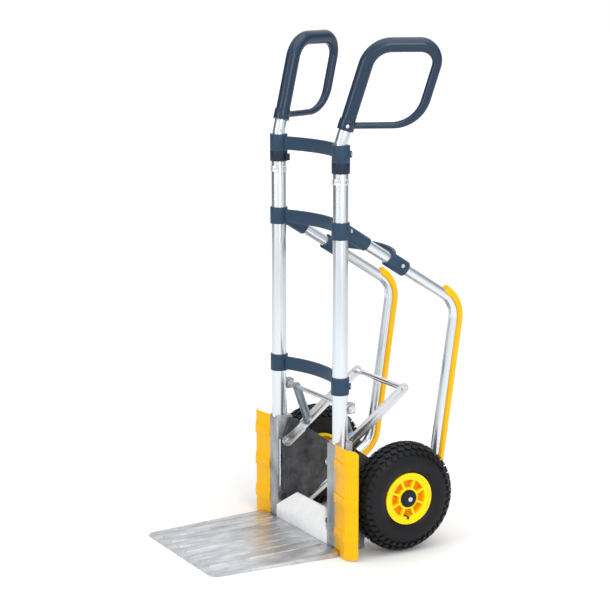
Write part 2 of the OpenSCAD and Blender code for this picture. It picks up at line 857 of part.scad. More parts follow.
module bearings(s) {
    color([0.4, 0.41, 0.43]) on_axle(s)
        for (z = [-rim_half, rim_half - 4 - bearing_w])
            translate([0, 0, z]) difference() {
                cylinder(h = bearing_w, r = bearing_r);
                translate([0, 0, -cut]) cylinder(h = bearing_w + 2 * cut, r = bearing_bore);
            }
}

module valve(s) {
    color([0.1, 0.1, 0.1]) on_axle(s)
        translate([rim_r - 14, 0, -4]) {
            cylinder(h = 26, r = 4.2);
            translate([0, 0, 26]) cylinder(h = 8, r = 3);
        }
}

// ---------- Handle ----------

// Places a part drawn in the grip's plane, depth along +Y
module grip_plane(s) {
    translate([s * half_gap, 0, 0]) rotate(-s * grip_splay) children();
}

module tube_line(r, extra) {
    translate([0, 0, inner_foot - extra]) cylinder(h = handle_bend - inner_foot + extra, r = r);
    translate([0, 0, handle_bend]) sphere(r = r);
    taper([0, handle_bend], grip_start + extra * unit(grip_start - [0, handle_bend]), r, r);
}

module inner_tube(s) {
    color([0.85, 0.86, 0.88]) grip_plane(s) difference() {
        tube_line(inner_r, 0);
        tube_line(inner_r - inner_wall, cut);
    }
}

module tube_plug(s) {
    plug_len = 14;
    color([0.1, 0.1, 0.11])
        translate([s * half_gap, 0, inner_foot - 4]) {
            cylinder(h = 4, r = tube_r - tube_wall - 2 * run_gap);
            translate([0, 0, 4]) cylinder(h = plug_len, r = inner_r - inner_wall - run_gap);
        }
}

module top_crossbar() {
    color([0.16, 0.27, 0.38]) crossbar(ring_top, inner_r);
}

// Closed grip loop: a thick tube up the front and along the top, and a thin bar back to its foot
module grip(s) {
    turn_steps = 10;
    rear_turn = 90 + grip_rear_lean;
    rear_trim = grip_rear_bend * tan(rear_turn / 2);
    rear_centre = [grip_depth - rear_trim, grip_top - grip_rear_bend];
    front_path = [grip_start, [grip_front_top, grip_top], [grip_depth - rear_trim, grip_top]];
    bar_top = rear_centre + grip_rear_bend * [cos(grip_rear_lean), -sin(grip_rear_lean)];
    bar_path = [bar_top, [grip_low_rear, grip_low_z], [grip_start[0] + grip_r + 6, grip_low_z]];
    front = stations(front_path, [0, grip_top_bend, 0]);
    bar = stations(bar_path, [0, grip_low_bend, 0]);
    rear = [for (k = [1 : turn_steps - 1])
        let (a = 90 - rear_turn * k / turn_steps)
        [rear_centre + grip_rear_bend * [cos(a), sin(a)], [sin(a), -cos(a)]]];
    radii = concat([for (q = front) grip_r],
                   [for (k = [1 : turn_steps - 1]) grip_r + (grip_rear_r - grip_r) * k / turn_steps],
                   [for (k = [0 : len(bar) - 1])
                       grip_rear_r + (grip_bar_r - grip_rear_r) * k / (len(bar) - 1)]);
    color([0.13, 0.22, 0.31]) grip_plane(s) {
        sweep_round(concat(front, rear, bar), radii);
    }
}

// Clamps round the feet of the grips
module grip_clamps() {
    u = [sin(grip_lean), cos(grip_lean)];
    color([0.13, 0.22, 0.31])
        for (s = [-1, 1])
            grip_plane(s) difference() {
                taper(grip_start, grip_start + grip_collar * u, clamp_r, clamp_r);
                taper(grip_start - u, grip_start + (grip_collar + 1) * u, grip_r, grip_r);
                grip_screw(s, grip_screw_r + run_gap);
            }
}

// The screw in a grip's clamp, on the side away from the other grip
module grip_screw(s, r) {
    translate([0, grip_screw_at[0], grip_screw_at[1]]) rotate([0, s * 90, 0])
        translate([0, 0, clamp_r - 0.5]) cylinder(h = 3, r = r);
}

module handle_screws() {
    color([0.75, 0.76, 0.78]) {
        both() translate([half_gap, 0, ring_top + collar_len / 2]) collar_screw_head();
        for (s = [-1, 1])
            grip_plane(s) grip_screw(s, grip_screw_r);
    }
}

// ---------- Lock pins ----------

module at_pin(s) {
    translate([s * half_gap, 0, pin_z]) rotate(pin_angle) children();
}

module lock_pin(s) {
    color([0.8, 0.81, 0.83]) at_pin(s) rotate([0, 90, 0]) {
        head = wire_ring_r + wire_r;
        translate([0, 0, pin_tip]) cylinder(h = head - pin_tip, r = pin_r);
        translate([0, 0, head]) cylinder(h = pin_head_t, r = pin_head_r);
    }
}

// Sprung wire hoop that grips the upright round the pin
module snap_wire(s) {
    color([0.75, 0.76, 0.78]) at_pin(s) {
        for (z = [-wire_rise, wire_rise])
            translate([0, 0, z]) rotate(-wire_reach) rotate_extrude(angle = 2 * wire_reach)
                translate([wire_ring_r, 0]) circle(r = wire_r);
        for (a = [-wire_reach, wire_reach])
            rotate(a) translate([wire_ring_r, 0, -wire_rise]) {
                cylinder(h = 2 * wire_rise, r = wire_r);
                sphere(r = wire_r);
                translate([0, 0, 2 * wire_rise]) sphere(r = wire_r);
            }
    }
}

toe_plate();
riser();
color([0.6, 0.6, 0.61]) side(-1) bracket();  // bracket_left
color([0.6, 0.6, 0.61]) side(1) bracket();  // bracket_right
color([1, 0.78, 0.03]) side(-1) bumper();  // bumper_left
color([1, 0.78, 0.03]) side(1) bumper();  // bumper_right
upright(-1);  // upright_left
upright(1);  // upright_right
top_ring(-1);  // top_ring_left
top_ring(1);  // top_ring_right
lower_crossbar();
middle_crossbar();
glide_rail(-1);  // glide_rail_left
glide_rail(1);  // glide_rail_right
glide_strip(-1);  // glide_strip_left
glide_strip(1);  // glide_strip_right
glide_brace();
frame_screws();
cross_rod_bar();  // cross_rod
rod_lugs();
rod_nuts();
carrier_plate(-1);  // carrier_plate_left
carrier_plate(1);  // carrier_plate_right
axle();
axle_spacers();
pivot_bolts();
lever_bolts();
axle_caps();
axle_bolts();
carrier_bolts();
lever_arm(-1);  // lever_arm_left
lever_arm(1);  // lever_arm_right
tread_rod();
tread_screws();
link_bolts();
lever_washers();
link(-1);  // link_left
link(1);  // link_right
tyre(-1);  // tyre_left
tyre(1);  // tyre_right
rim(-1);  // rim_left
rim(1);  // rim_right
bearings(-1);  // bearings_left
bearings(1);  // bearings_right
valve(-1);  // valve_left
valve(1);  // valve_right
inner_tube(-1);  // inner_tube_left
inner_tube(1);  // inner_tube_right
top_crossbar();
grip(-1);  // grip_left
grip(1);  // grip_right
grip_clamps();
handle_screws();
tube_plug(-1);  // tube_plug_left
tube_plug(1);  // tube_plug_right
lock_pin(-1);  // lock_pin_left
lock_pin(1);  // lock_pin_right
snap_wire(-1);  // snap_wire_left
snap_wire(1);  // snap_wire_right
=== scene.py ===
# %% [markdown]
# # A hand truck, dressed for its portrait
# The imported CAD model is the frame: every tube, plate, wheel and joint is already the right size and in the
# right place. This lesson gives it edges, surfaces and light. We load the frame first.

# %% Load the frame
import json
import math

import bpy
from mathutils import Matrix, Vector


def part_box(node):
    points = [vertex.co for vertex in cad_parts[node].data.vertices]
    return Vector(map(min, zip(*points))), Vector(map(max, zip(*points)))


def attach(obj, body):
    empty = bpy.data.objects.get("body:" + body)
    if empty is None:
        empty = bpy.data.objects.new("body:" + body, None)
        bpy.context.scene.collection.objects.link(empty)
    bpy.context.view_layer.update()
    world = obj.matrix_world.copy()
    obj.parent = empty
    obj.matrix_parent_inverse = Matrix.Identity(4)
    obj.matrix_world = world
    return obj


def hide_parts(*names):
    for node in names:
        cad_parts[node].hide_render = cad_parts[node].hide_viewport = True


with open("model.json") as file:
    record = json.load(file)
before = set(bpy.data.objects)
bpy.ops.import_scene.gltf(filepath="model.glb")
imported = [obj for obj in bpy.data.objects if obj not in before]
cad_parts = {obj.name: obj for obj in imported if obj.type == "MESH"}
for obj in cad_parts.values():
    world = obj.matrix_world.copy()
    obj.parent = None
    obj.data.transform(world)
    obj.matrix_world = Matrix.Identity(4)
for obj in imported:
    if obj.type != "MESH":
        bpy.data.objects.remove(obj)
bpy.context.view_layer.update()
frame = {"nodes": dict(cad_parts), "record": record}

NODES = frame["nodes"]
BODIES = frame["record"]["behaviour"]["bodies"]
BODY_OF = {node: body for body, nodes in BODIES.items() for node in nodes}
SLOT_OF = {row["node"]: row["material_slot"] for row in frame["record"]["subparts"]}
MM = 0.001

# %% [markdown]
# ## The camera
# A long lens, far away, keeps the uprights nearly parallel. The camera stands to the right of the toe plate,
# a little above the handles' height, and looks down by eleven degrees. An empty track or a constraint would
# also aim it, but a direction and `to_track_quat` leave nothing behind in the scene.

# %% Camera
CAMERA_PLACE = (3.7672, -2.1060, 1.3956)
CAMERA_DIRECTION = (-0.8580, 0.4773, -0.1896)
CAMERA_LENS = 109.78
SENSOR_WIDTH = 36
FAR_CLIP = 50


def aim(direction):
    """The turn that points an object's -Z along a direction."""
    return Vector(direction).to_track_quat("-Z", "Y").to_euler()


bpy.ops.object.camera_add(location=CAMERA_PLACE)
camera = bpy.context.object
camera.name = "portrait_camera"
camera.rotation_euler = aim(CAMERA_DIRECTION)
camera.data.lens = CAMERA_LENS
camera.data.sensor_width = SENSOR_WIDTH
camera.data.clip_end = FAR_CLIP
bpy.context.scene.camera = camera
print("camera:", tuple(round(v, 3) for v in camera.location))

# %% [markdown]
# ## A helper for nodes
# Every finish, the floor and the room are small node trees. One helper adds a node, sets its options and its
# plain inputs, and links the rest, so that a tree reads from top to bottom like a recipe. Building the trees
# by hand in the Shader Editor gives the same result, but it can't be run again.

# %% Node helpers
WHITE = (1, 1, 1, 1)


def add_node(tree, kind, options=None, values=None, links=None):
    """A shader node, with its options set, its values filled in and its inputs linked to sockets."""
    node = tree.nodes.new("ShaderNode" + kind)
    for name, option in (options or {}).items():
        setattr(node, name, option)
    for name, value in (values or {}).items():
        node.inputs[name].default_value = value
    for name, socket in (links or {}).items():
        tree.links.new(socket, node.inputs[name])
    return node


def new_material(name):
    """A material, its node tree and its Principled shader."""
    material = bpy.data.materials.new(name)
    material.use_nodes = True
    return material, material.node_tree, material.node_tree.nodes["Principled BSDF"]


# %% [markdown]
# ## The floor
# The paper under the truck takes its soft contact shadows. Far from the lights a sheet turns grey and shows
# its horizon, so this one glows a little more with distance, and only for the rays that the camera sends. A
# curved backdrop would hide the horizon too, but it would stand in the way of the views from behind.

# %% Floor
PAPER_SIZE = 40
PAPER_DROP = 0.5 * MM
PAPER_COLOUR = (0.93, 0.93, 0.93, 1)
PAPER_ROUGHNESS = 0.9
GLOW_STARTS = 0.8
GLOW_FULL = 3.0
GLOW = 0.35

bpy.ops.object.select_all(action="DESELECT")
bpy.ops.mesh.primitive_plane_add(size=PAPER_SIZE, location=(0, 0, -PAPER_DROP))
floor = bpy.context.object
floor.name = "studio_floor"
paper, tree, shader = new_material("studio_paper")
shader.inputs["Base Color"].default_value = PAPER_COLOUR
shader.inputs["Roughness"].default_value = PAPER_ROUGHNESS
shader.inputs["Emission Color"].default_value = WHITE
where = add_node(tree, "TexCoord")
distance = add_node(tree, "VectorMath", {"operation": "LENGTH"}, links={0: where.outputs["Object"]})
glow = add_node(tree, "MapRange", values={"From Min": GLOW_STARTS, "From Max": GLOW_FULL, "To Max": GLOW},
                links={"Value": distance.outputs["Value"]})
ray = add_node(tree, "LightPath")
seen_glow = add_node(tree, "Math", {"operation": "MULTIPLY"},
                     links={0: glow.outputs["Result"], 1: ray.outputs["Is Camera Ray"]})
tree.links.new(seen_glow.outputs[0], shader.inputs["Emission Strength"])
floor.data.materials.append(paper)
print("floor size:", floor.dimensions.x)

# %% [markdown]
# ## The lights
# Metal shows what surrounds it, so the light is made of big soft boxes: one overhead, one beside the camera
# and one in front of the toe plate. Small lamps would put harder and brighter spots on the tubes.

# %% Lights
MIDDLE = (0, 0, 0.55)
SOFTBOXES = (
    ("overhead_box", (0.8, 0.2, 3.6), (3.0, 3.0), 40),
    ("camera_box", (3.9, -0.6, 2.4), (1.4, 2.4), 34),
    ("front_box", (0.6, -4.0, 2.2), (1.4, 2.0), 24),
)
for name, place, size, power in SOFTBOXES:
    bpy.ops.object.light_add(type="AREA", location=place)
    light = bpy.context.object
    light.name = name
    light.data.shape = "RECTANGLE"
    light.data.size, light.data.size_y = size
    light.data.energy = power
    light.rotation_euler = aim(Vector(MIDDLE) - Vector(place))

# %% [markdown]
# ## The room
# In a white room with nothing dark in it, metal looks like paper. The room is white where the camera looks,
# but what the tubes reflect has two soft dark flags, one on each side, as a studio hangs black cloth beside
# polished things. Each flag is a lobe round a direction, so no dark panel stands in any view.

# %% Room
ROOM_LIGHT = 0.95


def add_flag(tree, way, direction, edge, core, outside, inside):
    """Light over all directions: `outside` away from the flag, falling to `inside` between two cosines."""
    facing = add_node(tree, "VectorMath", {"operation": "DOT_PRODUCT"},
                      {1: Vector(direction).normalized()}, {0: way.outputs["Generated"]})
    lobe = add_node(tree, "MapRange", {"interpolation_type": "SMOOTHSTEP"},
                    {"From Min": edge, "From Max": core, "To Min": outside, "To Max": inside},
                    {"Value": facing.outputs["Value"]})
    return lobe.outputs["Result"]


world = bpy.data.worlds.new("pale_room")
world.use_nodes = True
tree = world.node_tree
way = add_node(tree, "TexCoord")
front_flag = add_flag(tree, way, (-0.76, -0.65, 0.0), edge=0.62, core=0.97, outside=ROOM_LIGHT, inside=0.1)
back_flag = add_flag(tree, way, (0.25, 0.96, 0.1), edge=0.8, core=0.99, outside=1, inside=0.25)
strength = add_node(tree, "Math", {"operation": "MULTIPLY"}, links={0: front_flag, 1: back_flag})
ray = add_node(tree, "LightPath")
seen = add_node(tree, "Math", {"operation": "MAXIMUM"},
                links={0: strength.outputs[0], 1: ray.outputs["Is Camera Ray"]})
background = tree.nodes["Background"]
background.inputs["Color"].default_value = WHITE
tree.links.new(seen.outputs[0], background.inputs["Strength"])
bpy.context.scene.world = world
bpy.context.scene.view_settings.view_transform = "Standard"
print("room light away from its flags:", ROOM_LIGHT)

# %% [markdown]
# ## Finishes
# Every finish is a Principled shader with a little procedural life: one noise varies its colour and its
# roughness, and lifts the surface by hundredths of a millimetre. The patterns read Object coordinates, which
# are the frame's own metres here, so a grain has a real size. An image would be easier to art-direct, but it
# would need to be unwrapped on sixty pieces.
#
# Raw castings and rolled plate also have clouds a few centimetres wide, where the skin cooled or wore
# unevenly. They are a second, much larger noise that multiplies the colour.

# %% Blotch helper
BLOTCHES_PER_METRE = 26
BLOTCH_DETAIL = 9
BLOTCH_RAGGEDNESS = 0.68
BLOTCH_DARK = 0.36
BLOTCH_LIGHT = 0.64


def add_blotches(tree, place, shader, amount, stretch):
    """Lighter and darker clouds of a few centimetres over a raw casting's colour."""
    mapping = add_node(tree, "Mapping", values={"Scale": stretch}, links={"Vector": place.outputs["Object"]})
    cloud = add_node(tree, "TexNoise", values={"Scale": BLOTCHES_PER_METRE, "Detail": BLOTCH_DETAIL,
                                               "Roughness": BLOTCH_RAGGEDNESS},
                     links={"Vector": mapping.outputs["Vector"]})
    level = add_node(tree, "MapRange", values={"From Min": BLOTCH_DARK, "From Max": BLOTCH_LIGHT,
                                               "To Min": 1 - amount, "To Max": 1 + amount},
                     links={"Value": cloud.outputs["Fac"]})
    scaled = add_node(tree, "VectorMath", {"operation": "SCALE"},
                      links={0: shader.inputs["Base Color"].links[0].from_socket,
                             "Scale": level.outputs["Result"]})
    tree.links.new(scaled.outputs[0], shader.inputs["Base Color"])


print("blotches about", round(1000 / BLOTCHES_PER_METRE), "mm wide")


# %% Finish helper
COAT_ROUGHNESS = 0.12
GRAIN_DETAIL = 3
BUMP_STRENGTH = 0.5
SMOOTHEST = 0.02


def finish(name, colour, metallic=0.0, roughness=0.4, spread=0.08, grain=200, lift=0.02, stretch=(1, 1, 1),
           coat=0.0, shade=0.12, shine=0.5, blotch=0.0, blotch_stretch=(1, 1, 1)):
    """A shader whose colour, roughness and height vary with a noise of `grain` cells per metre.

    spread varies the roughness, shade varies the colour, and lift is the noise's height in millimetres.
    """
    material, tree, shader = new_material(name)
    shader.inputs["Metallic"].default_value = metallic
    shader.inputs["Specular IOR Level"].default_value = shine
    shader.inputs["Coat Weight"].default_value = coat
    shader.inputs["Coat Roughness"].default_value = COAT_ROUGHNESS
    place = add_node(tree, "TexCoord")
    mapping = add_node(tree, "Mapping", values={"Scale": stretch}, links={"Vector": place.outputs["Object"]})
    noise = add_node(tree, "TexNoise", values={"Scale": grain, "Detail": GRAIN_DETAIL},
                     links={"Vector": mapping.outputs["Vector"]})
    rough = add_node(tree, "MapRange", values={"To Min": max(SMOOTHEST, roughness - spread),
                                               "To Max": min(1.0, roughness + spread)},
                     links={"Value": noise.outputs["Fac"]})
    tree.links.new(rough.outputs["Result"], shader.inputs["Roughness"])
    darker = (*[c * (1 - shade) for c in colour], 1)
    lighter = (*[min(1.0, c * (1 + shade)) for c in colour], 1)
    tint = add_node(tree, "Mix", {"data_type": "RGBA"}, {"A": darker, "B": lighter},
                    {"Factor": noise.outputs["Fac"]})
    tree.links.new(tint.outputs["Result"], shader.inputs["Base Color"])
    if blotch:
        add_blotches(tree, place, shader, blotch, blotch_stretch)
    bump = add_node(tree, "Bump", values={"Strength": BUMP_STRENGTH, "Distance": lift * MM},
                    links={"Height": noise.outputs["Fac"]})
    tree.links.new(bump.outputs["Normal"], shader.inputs["Normal"])
    return material


# %% [markdown]
# ## Bare metal
# The uprights are drawn along their length, so their grain is stretched along Z. The toe plate and the foot
# brackets are cloudy. The riser between the brackets is listed as the same cast metal as they are, but it is
# given a near-white finish of its own, a painted highlight for the light that falls on its sloped face.
# Screws, arms and rods are plated or bright steel.

# %% Metal finishes
METALS = {
    "rolled_aluminium": dict(colour=(0.60, 0.62, 0.65), metallic=0.9, roughness=0.38, spread=0.1, grain=220,
                             lift=0.1, blotch=0.24, blotch_stretch=(1.6, 0.5, 1.6)),
    # painted highlight: the riser is coloured near white for the light that falls on it
    "pale_aluminium": dict(colour=(0.97, 0.975, 0.985), metallic=0.15, spread=0.1, grain=320, lift=0.2,
                           shade=0.03, blotch=0.05),
    "cast_aluminium": dict(colour=(0.42, 0.43, 0.45), metallic=0.6, roughness=0.5, spread=0.12, grain=320,
                           lift=0.25, shade=0.2, blotch=0.4, blotch_stretch=(1, 1, 0.4)),
    "satin_aluminium": dict(colour=(0.74, 0.79, 0.84), metallic=0.95, roughness=0.25, spread=0.025, grain=90,
                            lift=0.003, stretch=(4, 4, 0.25), shade=0.03),
    "grey_casting": dict(colour=(0.085, 0.087, 0.092), metallic=0.4, roughness=0.5, spread=0.12, grain=260,
                         lift=0.3, shade=0.3, shine=0.3, blotch=0.5),
    "zinc_steel": dict(colour=(0.72, 0.74, 0.77), metallic=1.0, roughness=0.32, spread=0.1, grain=180,
                       lift=0.03),
    "dark_zinc": dict(colour=(0.34, 0.39, 0.43), metallic=1.0, spread=0.1, grain=150, lift=0.03, shade=0.2),
    "bright_steel": dict(colour=(0.86, 0.87, 0.89), metallic=1.0, roughness=0.14, spread=0.05, lift=0.01,
                         shade=0.04),
    "black_steel": dict(colour=(0.03, 0.03, 0.034), metallic=0.6, roughness=0.42, spread=0.1, grain=300,
                        lift=0.04),
}
FINISHES = {name: finish(name, **look) for name, look in METALS.items()}
print("metals:", sorted(METALS))

# %% [markdown]
# ## Plastic and rubber
# Mouldings have a fine, even texture from their mould, and the grips have a glossier skin. Rubber is nearly
# black, with a wide soft shine. The colours are deep, because the bright room adds its own white to them.

# %% Plastic and rubber finishes
MOULDINGS = {
    "yellow_plastic": dict(colour=(1.0, 0.50, 0.0), roughness=0.36, spread=0.06, grain=500, shade=0.03,
                           shine=0.2),
    "amber_plastic": dict(colour=(1.0, 0.52, 0.0), roughness=0.36, spread=0.06, grain=500, shade=0.03,
                          shine=0.2),
    "blue_plastic": dict(colour=(0.024, 0.055, 0.100), roughness=0.42, spread=0.06, grain=700, lift=0.04,
                         shade=0.1, shine=0.25),
    "dark_blue_plastic": dict(colour=(0.012, 0.022, 0.042), roughness=0.42, spread=0.06, grain=700,
                              lift=0.04, shade=0.1, shine=0.3),
    "grip_plastic": dict(colour=(0.014, 0.034, 0.068), roughness=0.22, spread=0.04, grain=600, lift=0.015,
                         coat=0.25, shade=0.08, shine=0.25),
    "black_plastic": dict(colour=(0.010, 0.010, 0.012), roughness=0.5, grain=500, lift=0.05, shine=0.3),
    "valve_rubber": dict(colour=(0.02, 0.02, 0.02), roughness=0.65, grain=500, lift=0.05),
    "tyre_rubber": dict(colour=(0.005, 0.0055, 0.0075), roughness=0.46, spread=0.1, grain=420, lift=0.06,
                        shade=0.25, shine=0.25),
    "rim_plastic": dict(colour=(1.0, 0.74, 0.0), roughness=0.34, spread=0.05, grain=500, shade=0.02,
                        shine=0.25),
}
FINISHES.update({name: finish(name, **look) for name, look in MOULDINGS.items()})
print("mouldings:", sorted(MOULDINGS))

# %% [markdown]
# ## The rims' two yellows
# A rim is one moulding, but its pockets are deep and look orange, because light that bounces between yellow
# walls loses its green. That bounced light is painted into the colour by place: what lies inside the flange's
# radius, measured from the wheel's axis, and deep below the outer face, is painted an orange shade. Two
# materials would leave a hard line.

# %% Rim pockets
axle_low, axle_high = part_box("axle")
AXLE_Y = (axle_low.y + axle_high.y) / 2
AXLE_Z = (axle_low.z + axle_high.z) / 2
OUTER_FACE = max(abs(corner.x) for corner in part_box("rim_right"))
POCKET_DEEP = 20 * MM
POCKET_SHALLOW = 5 * MM
POCKET_PALE_R = 45.5 * MM
POCKET_SHADED_R = 44.5 * MM
POCKET_SHADE_ORANGE = (0.96, 0.33, 0.0, 1)


def paint_pocket_shade(material):
    """Paints an orange shade, for light bounced between yellow walls, inside a rim's flange and below its
    outer face.
    """
    tree = material.node_tree
    shader = tree.nodes["Principled BSDF"]
    place = add_node(tree, "TexCoord")
    flat = add_node(tree, "VectorMath", {"operation": "MULTIPLY_ADD"},
                    {1: (0, 1, 1), 2: (0, -AXLE_Y, -AXLE_Z)}, {0: place.outputs["Object"]})
    radius = add_node(tree, "VectorMath", {"operation": "LENGTH"}, links={0: flat.outputs[0]})
    split = add_node(tree, "SeparateXYZ", links={"Vector": place.outputs["Object"]})
    across = add_node(tree, "Math", {"operation": "ABSOLUTE"}, links={0: split.outputs["X"]})
    depth = add_node(tree, "MapRange",
                     values={"From Min": OUTER_FACE - POCKET_DEEP, "From Max": OUTER_FACE - POCKET_SHALLOW,
                             "To Min": 1, "To Max": 0},
                     links={"Value": across.outputs[0]})
    inside = add_node(tree, "MapRange", values={"From Min": POCKET_PALE_R, "From Max": POCKET_SHADED_R},
                      links={"Value": radius.outputs["Value"]})
    shade_share = add_node(tree, "Math", {"operation": "MULTIPLY"},
                     links={0: depth.outputs["Result"], 1: inside.outputs["Result"]})
    # painted shade: orange mixed in where light bounces between the pockets' yellow walls
    pocket_shade = add_node(tree, "Mix", {"data_type": "RGBA"}, {"B": POCKET_SHADE_ORANGE},
                    {"A": shader.inputs["Base Color"].links[0].from_socket, "Factor": shade_share.outputs[0]})
    tree.links.new(pocket_shade.outputs["Result"], shader.inputs["Base Color"])


paint_pocket_shade(FINISHES["rim_plastic"])
print("axle at y, z:", round(AXLE_Y, 4), round(AXLE_Z, 4))

# %% [markdown]
# ## Edges
# CAD edges are perfectly sharp, and nothing real is: a cast edge is rounded by its mould, and a sawn tube by
# a file. A finished copy of each node is merged, its flat triangles are dissolved into whole faces, and a
# bevel catches the light along its edges. The copy then stands for the node, which stays in the physics
# model. Bevelling the CAD node itself would be shorter, but a CAD node has to stay as it was packed.

# %% Edge helpers
MERGE_WITHIN = 0.01 * MM
FLAT_WITHIN = math.radians(0.5)
SHARP_FROM = math.radians(30)
SMOOTH_BELOW = math.radians(35)


def only(piece):
    """Makes one piece the only selected one, and active."""
    bpy.ops.object.select_all(action="DESELECT")
    piece.select_set(True)
    bpy.context.view_layer.objects.active = piece


def apply_bevel(piece, width, segments=2):
    """Rounds a piece's sharp edges."""
    only(piece)
    bevel = piece.modifiers.new("edges", "BEVEL")
    bevel.width = width
    bevel.segments = segments
    bevel.limit_method = "ANGLE"
    bevel.angle_limit = SHARP_FROM
    bevel.use_clamp_overlap = True
    bpy.ops.object.modifier_apply(modifier=bevel.name)


def stand_for(piece, node, look):
    """Gives a piece its finish, and lets it stand for a CAD node and move with the node's body."""
    piece.data.materials.clear()
    piece.data.materials.append(FINISHES[look])
    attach(piece, BODY_OF[node])
    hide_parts(node)


def finished_copy(node, width):
    """A copy of a CAD node with merged faces and rounded edges, standing for the node."""
    source = NODES[node]
    piece = source.copy()
    piece.data = source.data.copy()
    piece.name = node + "_finished"
    piece.parent = None
    bpy.context.scene.collection.objects.link(piece)
    only(piece)
    if piece.data.has_custom_normals:
        bpy.ops.mesh.customdata_custom_splitnormals_clear()
    bpy.ops.object.mode_set(mode="EDIT")
    bpy.ops.mesh.select_all(action="SELECT")
    bpy.ops.mesh.remove_doubles(threshold=MERGE_WITHIN)
    bpy.ops.mesh.dissolve_limited(angle_limit=FLAT_WITHIN)
    bpy.ops.object.mode_set(mode="OBJECT")
    if width:
        apply_bevel(piece, width)
    only(piece)
    bpy.ops.object.shade_smooth_by_angle(angle=SMOOTH_BELOW)
    stand_for(piece, node, FINISH_OF.get(node, SLOT_OF[node]))


# %% [markdown]
# ## Which edge for which piece
# Mouldings get a soft edge, castings a middling one, and pressed or turned steel a fine one, all in
# millimetres. Pieces that are remade further down are left out of this table. A width for each piece is more
# work than one for all, but one width for all makes a screw's head round and leaves a casting sharp.

# %% Finish the CAD pieces
EDGE = {
    "toe_plate": 0.7, "riser": 0.9, "bracket": 1.2, "bumper": 1.3, "upright": 0.3, "top_ring": 0.7,
    "lower_crossbar": 1.4, "middle_crossbar": 1.4, "top_crossbar": 1.4, "glide_strip": 0.8,
    "glide_brace": 1.4,
    "frame_screws": 0.3, "cross_rod": 0.3, "rod_lugs": 0.8, "rod_nuts": 0.4, "carrier_plate": 1.2,
    "axle": 0.3, "axle_spacers": 0.3, "pivot_bolts": 0.4, "lever_bolts": 0.4, "axle_caps": 0.8,
    "axle_bolts": 0.4, "carrier_bolts": 0.4, "lever_arm": 0.7, "tread_rod": 0.4, "tread_screws": 0.4,
    "link_bolts": 0.4, "lever_washers": 0.3, "link": 0.7, "rim": 0.8, "bearings": 0.3, "valve": 0.3,
    "inner_tube": 0.2, "grip_clamps": 0.5, "handle_screws": 0.3, "tube_plug": 0.4, "lock_pin": 0.5,
    "snap_wire": 0.0, "glide_rail": 0.0,
}
# the riser takes the near-white painted highlight finish
FINISH_OF = {"riser": "pale_aluminium"}
REMADE = {"tyre_left", "tyre_right", "grip_left", "grip_right"}
for node in sorted(NODES):
    if node not in REMADE:
        family = node.replace("_left", "").replace("_right", "")
        finished_copy(node, EDGE[family] * MM)
print("finished copies:", len(NODES) - len(REMADE))

# %% [markdown]
# ## The grips
# Each grip is a closed loop: a thick tube up the front and along the top, which thins round the rear corner
# into a slim bar and comes back to the clamp. It is a sweep with a changing radius, so a curve is the natural
# tool: its points carry a radius each, its bevel makes the tube, and it is then turned into a mesh.

# %% Grip path
GRIP_LEAN = math.radians(17.5)
GRIP_SPLAY = math.radians(23)
GRIP_THICK = 17 * MM
GRIP_THIN = 7.5 * MM
GRIP_REAR = 11 * MM
HANDLE_BEND_Z = 959 * MM
GRIP_FOOT_Z = 988 * MM
GRIP_TOP_Z = 1178 * MM
GRIP_LOW_Z = 998 * MM
GRIP_DEPTH = 231 * MM
FRONT_TOP = math.tan(GRIP_LEAN) * (GRIP_TOP_Z - HANDLE_BEND_Z)
REAR_LEAN = math.radians(17.2)
TOP_BEND_R = 63 * MM
REAR_BEND_R = 38 * MM
LOW_BEND_R = 80 * MM
END_INSET = 14 * MM
GRIP_SMOOTH_BELOW = math.radians(50)


def round_corner(before, corner, after, radius, steps=14):
    """Points round a corner of a flat path, from tangent to tangent."""
    u = (corner - before).normalized()
    w = (after - corner).normalized()
    turn = u.angle(w)
    trim = radius * math.tan(turn / 2)
    side = 1 if u.x * w.y - u.y * w.x > 0 else -1
    centre = corner - trim * u + radius * side * Vector((-u.y, u.x))
    first = corner - trim * u - centre
    points = []
    for step in range(steps + 1):
        a = side * turn * step / steps
        points.append(centre + Vector((first.x * math.cos(a) - first.y * math.sin(a),
                                       first.x * math.sin(a) + first.y * math.cos(a))))
    return points


def grip_stations():
    """Points (depth, height) along the loop, each with the tube's radius there."""
    foot = Vector((FRONT_TOP - math.tan(GRIP_LEAN) * (GRIP_TOP_Z - GRIP_FOOT_Z), GRIP_FOOT_Z))
    front_top = Vector((FRONT_TOP, GRIP_TOP_Z))
    rear_top = Vector((GRIP_DEPTH, GRIP_TOP_Z))
    rear_low = Vector((GRIP_DEPTH - math.tan(REAR_LEAN) * (GRIP_TOP_Z - GRIP_LOW_Z), GRIP_LOW_Z))
    end = Vector((foot.x + END_INSET, GRIP_LOW_Z))
    top = round_corner(foot, front_top, rear_top, TOP_BEND_R)
    rear = round_corner(front_top, rear_top, rear_low, REAR_BEND_R)
    low = round_corner(rear_top, rear_low, end, LOW_BEND_R)
    line = [(p, GRIP_THICK) for p in [foot] + top]
    for step, p in enumerate(rear):
        part = step / (len(rear) - 1)
        ease = part * part * (3 - 2 * part)
        line.append((p, GRIP_THICK + (GRIP_REAR - GRIP_THICK) * ease))
    for step, p in enumerate(low + [end]):
        line.append((p, GRIP_REAR + (GRIP_THIN - GRIP_REAR) * step / len(low)))
    return line


print("grip stations:", len(grip_stations()))


